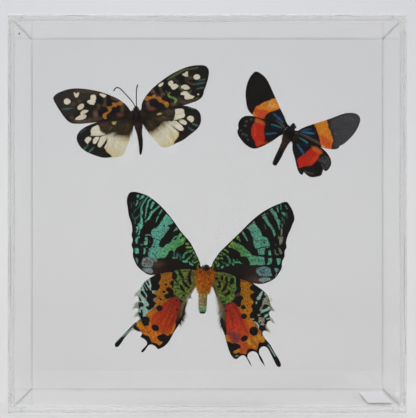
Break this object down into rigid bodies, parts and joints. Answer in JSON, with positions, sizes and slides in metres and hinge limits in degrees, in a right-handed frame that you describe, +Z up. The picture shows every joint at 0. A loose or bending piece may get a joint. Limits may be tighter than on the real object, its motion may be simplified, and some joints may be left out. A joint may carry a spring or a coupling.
{
  "type": "framed specimen box of day-flying moths",
  "caption": "Clear acrylic display case, a square block-shaped box that stands on its base, with spread day-flying moths fixed inside on clear rods.",
  "frame": {"origin": "the middle of the case's base", "axes": "+Z up, +X to the right as the front is looked at, +Y to the back; the front sheet faces -Y"},
  "size_m": [0.2, 0.05, 0.2],
  "materials": {
    "clear_acrylic": "polished clear acrylic",
    "label_paper": "matt white paper, blank",
    "sunset_wing": "wing scales, satin with a green to blue-green sheen, over black, orange and red",
    "spotted_wing": "wing scales, black-brown with cream and orange marks",
    "banded_wing": "wing scales, black with orange to red bands and blue streaks",
    "sunset_fur": "orange fur, dull green towards the tail",
    "dark_fur": "short black-brown fur"
  },
  "bodies": {
    "root": {"front_sheet": "clear_acrylic", "back_sheet": "clear_acrylic", "bottom_sheet": "clear_acrylic", "top_sheet": "clear_acrylic", "left_sheet": "clear_acrylic", "right_sheet": "clear_acrylic", "label": "label_paper", "sunset_moth_rod": "clear_acrylic", "sunset_moth_body": "sunset_fur", "sunset_moth_forewing_left": "sunset_wing", "sunset_moth_forewing_right": "sunset_wing", "sunset_moth_hindwing_left": "sunset_wing", "sunset_moth_hindwing_right": "sunset_wing", "spotted_moth_rod": "clear_acrylic", "spotted_moth_body": "dark_fur", "spotted_moth_forewing_left": "spotted_wing", "spotted_moth_forewing_right": "spotted_wing", "spotted_moth_hindwing_left": "spotted_wing", "spotted_moth_hindwing_right": "spotted_wing", "banded_moth_rod": "clear_acrylic", "banded_moth_body": "dark_fur", "banded_moth_forewing_left": "banded_wing", "banded_moth_forewing_right": "banded_wing", "banded_moth_hindwing_left": "banded_wing", "banded_moth_hindwing_right": "banded_wing"}
  },
  "joints": []
}
